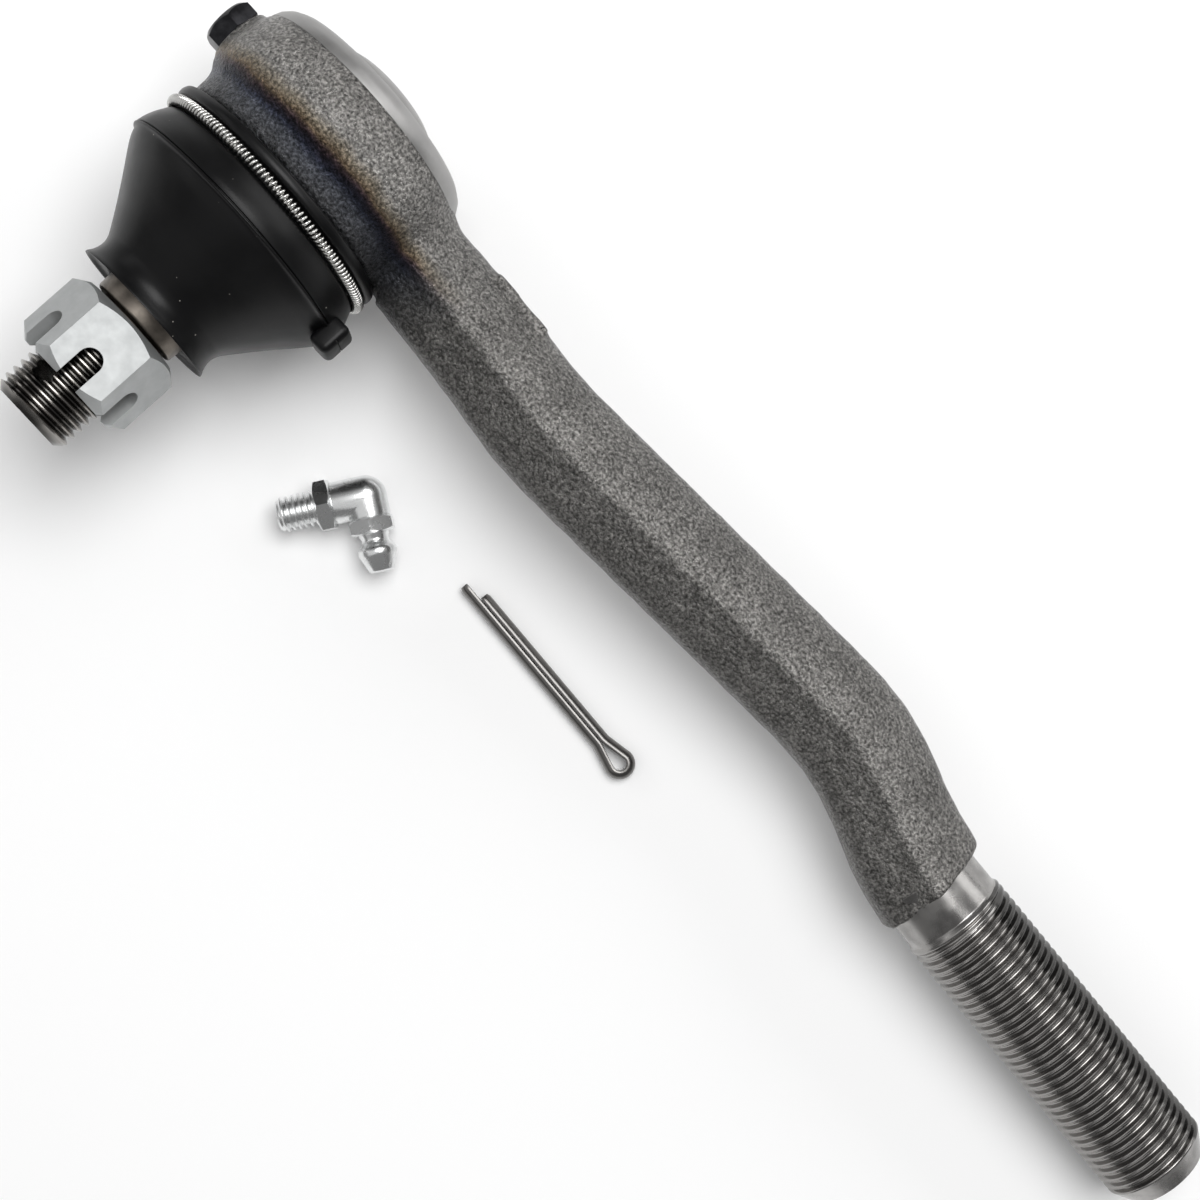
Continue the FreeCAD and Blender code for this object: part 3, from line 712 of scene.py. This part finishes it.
def forgingField(x, y, z):
    outline = np.array(forging["eyeOutline"])
    away = np.sqrt(x ** 2 + z ** 2)
    eye = (away - gentle(y, outline[:, 0], outline[:, 1], 0.35)) * 0.9
    eye = np.maximum.reduce([eye, forging["spigotEnd"] - y, y - forging["topEnd"]])
    arm = armField(x, y, z)
    bootRoom = np.maximum(away - forging["bootRoomRadius"], y - forging["bootRoomEnd"])
    arm = smoothMax(arm, -bootRoom, 0.6)
    boss = np.sqrt((y - forging["bossY"]) ** 2 + z ** 2) - forging["bossRadius"]
    boss = np.maximum(boss, np.abs(x - forging["bossX"]) - forging["bossHalfLength"])
    body = smoothMin(eye, arm, 3.0 * np.clip((y + 8) / 3, 0.15, 1))
    body = smoothMin(body, boss, 1.2) + waviness(x, y, z)
    cavity = np.array(forging["cavity"])
    return np.maximum(body, np.interp(y, cavity[:, 0], cavity[:, 1]) - away)


def makeForging():
    step = forging["step"]
    low = np.array([-24.5, -22.5, -24.5])
    high = np.array([154.0, 13.0, 24.5])
    axes = [np.arange(a, b, step) for a, b in zip(low, high)]
    x, y, z = np.meshgrid(*axes, indexing="ij", sparse=True)
    x, y, z = x + 0 * y, y + 0 * x, z
    field = forgingField(x + 0 * z, y + 0 * z, z + 0 * x)
    points, quads = surfaceNet(field, low, step)
    return gridPiece("forgedBody", relax(points, quads, 2), quads, forgedEye)


rim = {
    "outline": [(19.7, 6.2), (20.78, 7.6), (20.72, 7.9), (20.4, 8.9), (19.6, 10.0), (18.5, 10.75),
                (17.2, 11.05), (15.2, 11.1), (14.6, 10.95), (14.4, 10.6), (14.4, 10.22),
                (16.8, 10.22), (16.8, 8.6), (16.2, 8.6), (16.2, 6.2)],
}


def makeTurnedRim():
    # the rim is turned bright and rolled in over the cover
    return turnedPiece("turnedRim", rim["outline"], satinCover, 192)


# rod, thread and neck of the shank, in mm along it and from its axis
shank = {"rodStart": 147.0, "rodEnd": 210.5, "start": 156.0, "end": 207.0, "pitch": 1.5, "crest": 8.95,
         "root": 8.05, "flat": 0.22, "crease": 0.07, "neck": 8.45, "neckEnd": 155.3, "tip": 7.0}


def makeShank():
    crest, neck = shank["crest"], shank["neck"]

    def plainRadius(at):
        rise = (crest - neck) * min(max((at - shank["neckEnd"]) / 0.8, 0), 1)
        fall = (crest - shank["tip"]) * max(at - shank["end"], 0) / (shank["rodEnd"] - shank["end"])
        return min(neck + rise, crest - fall)

    rod = threadedRod("rolledShank", shank, plainRadius, shankThreadSteel)
    rod.data.materials.append(polishedNeck)
    for face in rod.data.polygons:
        at = face.center.y / mm
        if at < shank["start"] - 0.4 or at > shank["end"] + 0.2:
            face.material_index = 1
    return reposition(rod, place(angleZ=-90 - forging["lean"]))


def shape(piece, body, *nodes, slotName):
    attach(piece, body)
    if nodes:
        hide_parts(*nodes)
    return piece


shape(makeForging(), "housing", "forged_arm", slotName="forged_steel")
print("forging ready")
shape(makeTurnedRim(), "housing", "forged_arm", slotName="forged_steel")
shape(makeShank(), "housing", "forged_arm", slotName="forged_steel")
print("rim and shank ready")


cover = {
    "outline": [(0, 13.2), (9.2, 12.1), (9.8, 8.6), (16.7, 8.6), (16.7, 10.2), (12.4, 10.2),
                (11.4, 11.0), (10.6, 12.9), (8.0, 14.0), (4.0, 14.65), (0, 14.8)],
    "corner": 0.9,
}


def makeCover():
    outline = roundCorners(cover["outline"], cover["corner"], 6)
    return turnedPiece("domedCover", outline, satinCover, 192)


shape(makeCover(), "housing", "end_cover", slotName="cover_steel")


stud = {"ball": 11.5, "ballFlat": 10.8, "neck": 6.0, "holeRadius": 1.9, "holeY": -54.5, "holeTurn": -23,
        "shaft": [(6.0, -9.9), (6.0, -13.5), (7.2, -19.0), (8.5, -25.5), (8.5, -27.0), (7.7, -39.7),
                  (6.3, -39.9), (6.3, -40.5)],
        "thread": {"rodStart": 40.6, "rodEnd": 61.3, "start": 40.6, "end": 60.3, "pitch": 1.5,
                   "crest": 6.97, "root": 6.05, "flat": 0.16},
        "tipStart": 60.0, "tipDrop": 1.3, "tipRun": 1.3}


def makeStud():
    ball = stud["ball"]
    topAngle = math.acos(stud["ballFlat"] / ball)
    neckAngle = math.pi - math.asin(stud["neck"] / ball)
    sphere = [(ball * math.sin(a), ball * math.cos(a)) for a in np.linspace(topAngle, neckAngle, 40)]
    ends = stud["shaft"][:1], stud["shaft"][-1:]
    shaft = ends[0] + roundCorners(stud["shaft"], 0.5)[5:-5] + ends[1]      # the two end corners stay sharp
    outline = [(0, 9.6), (1.2, 10.8)] + sphere + shaft + [(6.3, -41.0), (0, -41.0)]
    upper = turnedPiece("studUpper", outline, studTaperSteel, 128)
    crest = stud["thread"]["crest"]

    def plainRadius(at):
        if at < stud["tipStart"]:
            return crest
        return crest - stud["tipDrop"] * (at - stud["tipStart"]) / stud["tipRun"]

    lower = threadedRod("studLower", stud["thread"], plainRadius, studThreadSteel)
    reposition(lower, place(angleZ=180))
    drill = stud["holeRadius"]
    hole = turnedPiece("cotterHole", [(0, -12), (drill, -12), (drill, 12), (0, 12)], studTaperSteel, 64)
    reposition(hole, place(angleX=90))
    reposition(hole, place(angleY=stud["holeTurn"], shift=(0, stud["holeY"], 0)))
    cutWith(lower, hole)
    return joinPieces([lower, upper], "studBar")


shape(makeStud(), "stud", "ball_stud", slotName="stud_steel")
print("stud ready")


nut = {"flats": 19.0, "base": -40.3, "end": -53.5, "bore": 7.06, "slotWidth": 4.0, "slotDepth": 6.7,
       "turn": 8.6}


def makeNut():
    body = hexPiece("castleNut", nut["flats"], nut["end"], nut["base"], 1.9, 1.6, nutZinc, faceRatio=0.93)
    half = nut["slotWidth"] / 2
    roundEnd = nut["end"] + nut["slotDepth"] - half
    for step in range(3):
        ends = [(half * math.cos(a), roundEnd + half * math.sin(a)) for a in np.linspace(0, math.pi, 17)]
        outline = [(half, nut["end"] - 2)] + ends + [(-half, nut["end"] - 2)]
        count = len(outline)
        points = [(x, y, z) for z in (-14, 14) for x, y in outline]
        faces = [tuple(range(count)), tuple(range(2 * count - 1, count - 1, -1))]
        faces += [(i, (i + 1) % count, count + (i + 1) % count, count + i) for i in range(count)]
        cutter = meshPiece("slot", points, faces, nutZinc)
        cutWith(body, reposition(cutter, place(angleY=60 * step)))
    bore = nut["bore"]
    cutter = turnedPiece("bore", [(0, nut["end"] - 1), (bore + 1.4, nut["end"] - 0.4), (bore, nut["end"] + 1.0),
                                  (bore, nut["base"] - 0.8), (bore + 1.2, nut["base"] + 0.4),
                                  (0, nut["base"] + 1)], nutZinc, 96)
    cutWith(body, cutter)
    bevelEdges(body, 0.16, 2, 30, 12)
    return reposition(body, place(angleY=nut["turn"]))


shape(makeNut(), "nut", "castle_nut", slotName="zinc_plate")
print("nut ready")


boot = {
    "outline": [(8.45, -37.0), (11.7, -37.0), (12.35, -37.55), (12.75, -37.65), (12.7, -37.35), (12.25, -36.6),
                (11.95, -35.6), (11.9, -34.6), (12.2, -33.5), (13.3, -31.8), (15.2, -29.0), (17.2, -26.2),
                (19.3, -23.4), (20.7, -21.5), (21.4, -20.3), (21.75, -19.4), (22.3, -19.1), (22.35, -18.85),
                (21.95, -18.7), (22.25, -18.5), (22.2, -18.3), (22.1, -17.6), (21.85, -16.6), (21.5, -15.6),
                (20.95, -14.4), (20.6, -13.6), (20.05, -13.2), (19.75, -12.3), (20.05, -11.4), (20.8, -11.2),
                (21.3, -10.9), (21.4, -10.2), (21.15, -9.4), (20.8, -9.25), (19.35, -9.25), (19.35, -13.7),
                (18.6, -14.5), (17.7, -14.5), (17.7, -15.0), (18.9, -16.6), (19.6, -19.2), (17.4, -22.6),
                (11.0, -33.0), (8.45, -33.6)],
}


def makeBoot():
    outline = roundCorners(boot["outline"], 0.5, 3)

    def uneven(angle, radius, y):
        # a soft moulding is never quite round
        return 0.06 * math.sin(3 * angle + y * 0.15) * min(max((-y - 14) / 10, 0), 1)

    piece = turnedPiece("dustBootShell", outline, rubber, 192, wobble=uneven)
    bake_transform(piece)
    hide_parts("dust_boot")


nub = {"halfY": 2.8, "halfZ": 2.7, "inner": 21.0, "outer": 25.0, "y": -19.5, "turn": -14}


def makeNub():
    # moulding gate block across the seam, with the die's parting line round it
    points, faces = [], []
    halfY, halfZ = nub["halfY"], nub["halfZ"]
    for level in (nub["inner"], nub["outer"]):
        for y, z in ((-halfY, -halfZ), (halfY, -halfZ), (halfY, halfZ), (-halfY, halfZ)):
            points.append((level, y + nub["y"], z))
    faces = [(3, 2, 1, 0), (4, 5, 6, 7)] + [(i, (i + 1) % 4, 4 + (i + 1) % 4, 4 + i) for i in range(4)]
    block = meshPiece("bootNub", points, faces, rubber)
    bevelEdges(block, 1.1, 5)
    near, far, top, low = nub["outer"] - 0.3, nub["outer"] + 1.4, nub["y"] + 0.1, nub["y"] - 0.1
    line = turnedPiece("partingLine", [(near, top), (far, top), (far, low), (near, low)], rubber, 192)
    cutWith(block, line)
    reposition(block, place(angleY=nub["turn"]))
    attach(block, "housing")
    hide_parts("dust_boot")


garter = {"ring": 20.75, "coil": 0.72, "wire": 0.24, "pitch": 0.8, "y": -12.3}


def makeGarter():
    ring, coil, wire = garter["ring"], garter["coil"], garter["wire"]
    turns = int(fullTurn * ring / garter["pitch"])
    stepsPerTurn, wireSides = 20, 8
    count = turns * stepsPerTurn
    points, faces = [], []
    for step in range(count):
        around = fullTurn * step / count
        twist = fullTurn * step / stepsPerTurn
        radial = Vector((math.sin(around), 0, math.cos(around)))
        outward = radial * math.cos(twist) + Vector((0, 1, 0)) * math.sin(twist)
        centre = radial * ring + outward * coil + Vector((0, garter["y"], 0))
        tangent = Vector((math.cos(around), 0, -math.sin(around)))
        for side in range(wireSides):
            a = fullTurn * side / wireSides
            points.append(centre + (outward * math.cos(a) + tangent * math.sin(a)) * wire)
    for step in range(count):
        following = (step + 1) % count
        for side in range(wireSides):
            nextSide = (side + 1) % wireSides
            faces.append((step * wireSides + side, following * wireSides + side,
                          following * wireSides + nextSide, step * wireSides + nextSide))
    return meshPiece("garterCoil", points, faces, garterWire, 180)


makeBoot()
makeNub()
shape(makeGarter(), "housing", "garter_spring", slotName="garter_steel")
print("boot ready")


screw = {"flats": 8.0, "headTop": -25.6, "headSeat": -22.3, "y": 2.8,
         "stem": [(0, -22.5), (2.9, -22.5), (2.9, -17.6), (2.3, -17.0), (0, -17.0)]}


def makeScrew():
    head = hexPiece("portScrewHead", screw["flats"], screw["headTop"], screw["headSeat"], 0.9, 0.25, screwOxide,
                    cornerUp=True, faceRatio=0.9)
    bevelEdges(head, 0.18, 3, 30, 14)
    stem = turnedPiece("portScrewStem", screw["stem"], screwOxide, 48)
    return reposition(joinPieces([head, stem], "portScrew"), place(angleZ=-90, shift=(0, screw["y"], 0)))


shape(makeScrew(), "housing", "port_screw", slotName="black_oxide")


def onBench(at, turnDeg, height):
    x, y = at
    floorZ = (-view["benchDrop"] - benchNormal.x * x - benchNormal.y * y) / benchNormal.z
    shift = Vector((x, y, floorZ)) + benchNormal * height
    return Matrix.Translation(shift * mm) @ benchTilt.to_matrix().to_4x4() @ Matrix.Rotation(
        math.radians(turnDeg), 4, "Z")


cotter = {"at": (98.5, -28.8), "turn": -2.8, "leg": 1.45, "gap": 0.125, "longLeg": 34.0, "shortLeg": 30.8,
          "loop": 1.15, "bend": 4.0, "flare": 13.0}


def cotterPath():
    # inner face of the folded wire: long leg, flare, eye, flare, short leg
    flare = math.radians(cotter["flare"])
    gap, bend, loop = cotter["gap"], cotter["bend"], cotter["loop"]
    loopX = (loop + bend - (gap + bend) * math.cos(flare)) / math.sin(flare)
    upper = [(-x, gap) for x in np.linspace(cotter["longLeg"], 0.5, 60)]
    upper += [(bend * math.sin(a), gap + bend * (1 - math.cos(a))) for a in np.linspace(0, flare, 6)]
    angles = np.linspace(math.pi / 2 + flare, -math.pi / 2 - flare, 40)
    eye = [(loopX + loop * math.cos(a), loop * math.sin(a)) for a in angles]
    lower = [(x, -y) for x, y in reversed(upper) if x > -cotter["shortLeg"]]
    return [(x, -y) for x, y in upper + eye + lower]      # the long leg is the lower one


def makeCotter():
    path = np.array(cotterPath())
    tangents = np.gradient(path, axis=0)
    tangents /= np.linalg.norm(tangents, axis=1)[:, None]
    normals = np.stack([tangents[:, 1], -tangents[:, 0]], 1)     # outward, away from the flat
    leg = cotter["leg"]
    turns = np.linspace(0.08, math.pi - 0.08, 15)
    arc = [(0.12 + (leg - 0.12) * math.sin(a), leg * math.cos(a)) for a in turns]
    section = [(0, leg * 0.93)] + arc + [(0, -leg * 0.93)]
    rows = len(section)
    points, faces = [], []
    for index, (at, normal) in enumerate(zip(path, normals)):
        fromEnd = min(index, len(path) - 1 - index)
        scale = 0.86 if fromEnd == 0 else 1.0
        for out, z in section:
            points.append((at[0] + normal[0] * out * scale, at[1] + normal[1] * out * scale, z * scale))
    for index in range(len(path) - 1):
        for row in range(rows):
            nextRow = (row + 1) % rows
            faces.append((index * rows + row, index * rows + nextRow,
                          (index + 1) * rows + nextRow, (index + 1) * rows + row))
    faces.append(tuple(range(rows)))
    faces.append(tuple(range((len(path) - 1) * rows, len(path) * rows)))
    piece = meshPiece("cotterWire", points, faces, cotterWire, 40)
    return reposition(piece, onBench(cotter["at"], cotter["turn"], leg))


shape(makeCotter(), "cotter", "cotter_pin", slotName="cotter_steel")


nipple = {"at": (43.0, -29.3), "turn": 59.7, "flats": 8.0, "height": 4.6,
          "thread": {"rodStart": -14.6, "rodEnd": -7.9, "start": -14.6, "end": -8.4, "pitch": 1.0,
                     "crest": 2.95, "root": 2.33, "flat": 0.15},
          "tipStart": -13.9, "tipDrop": 0.6, "tipRun": 0.7, "barrel": 3.5}


def layNipple(piece):
    return reposition(piece, onBench(nipple["at"], nipple["turn"], nipple["height"]))


def makeNippleElbow():
    toX = place(angleZ=-90)
    size = nipple["thread"]

    def plainRadius(at):
        return size["crest"] - nipple["tipDrop"] * max(0.0, (nipple["tipStart"] - at) / nipple["tipRun"])

    stem = reposition(threadedRod("nippleStem", size, plainRadius, nippleZinc, 64, 12), toX)
    collar = hexPiece("nippleHex", nipple["flats"], -8.2, -5.4, 0.5, 0.5, nippleZinc, True, 0.94)
    reposition(bevelEdges(collar, 0.1, 2, 30, 14), toX)
    radius = nipple["barrel"]
    along = [(0, -5.6), (radius, -5.6), (radius, 0.0)]
    cap = [(radius * math.cos(a), radius * math.sin(a)) for a in np.linspace(0.08, math.pi / 2, 16)]
    barrel = reposition(turnedPiece("barrel", along + cap, nippleZinc, 96), toX)
    branch = turnedPiece("branch", [(0, 0), (3.45, 0), (3.45, -3.4), (3.2, -3.65), (0, -3.65)], nippleZinc, 96)
    cutWith(barrel, branch, "UNION")
    bevelEdges(barrel, 0.05, 2, 40)
    return layNipple(joinPieces([stem, collar, barrel], "nippleBody"))


def makeNippleHead():
    collar = hexPiece("headHex", 7.0, -6.2, -3.6, 0.5, 0.5, nippleZinc, True, 0.93)
    bevelEdges(collar, 0.1, 2, 30, 14)
    outline = roundCorners([(1.35, -1.0), (2.55, -1.0), (2.55, -5.9), (2.5, -6.3), (2.2, -7.2), (2.35, -7.7),
                            (3.1, -8.6), (3.25, -9.1), (3.2, -9.7), (2.0, -12.45), (1.6, -12.6), (0.9, -12.6),
                            (0.85, -12.1), (1.35, -11.3)], 0.25, 4)
    head = turnedPiece("headTurned", outline, nippleZinc, 96)
    return layNipple(joinPieces([head, collar], "nippleTip"))


def makeCheckBall():
    radius = 1.2
    outline = [(radius * math.sin(a), -11.05 + radius * math.cos(a)) for a in np.linspace(0, math.pi, 24)]
    return layNipple(turnedPiece("nippleCheckBall", outline, springWire, 48, closed=False))


shape(makeNippleElbow(), "nipple", "nipple_elbow", slotName="nipple_zinc")
shape(makeNippleHead(), "nipple", "nipple_head", slotName="nipple_zinc")
shape(makeCheckBall(), "check", "check_ball", slotName="stud_steel")
print("loose pieces ready")


hidden = {"lower_bearing": resin, "pressure_seat": resin, "preload_spring": springWire,
          "boot_lip_ring": springWire, "check_spring": springWire}
for nodeName, finish in hidden.items():
    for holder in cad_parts[nodeName].material_slots:
        holder.material = finish
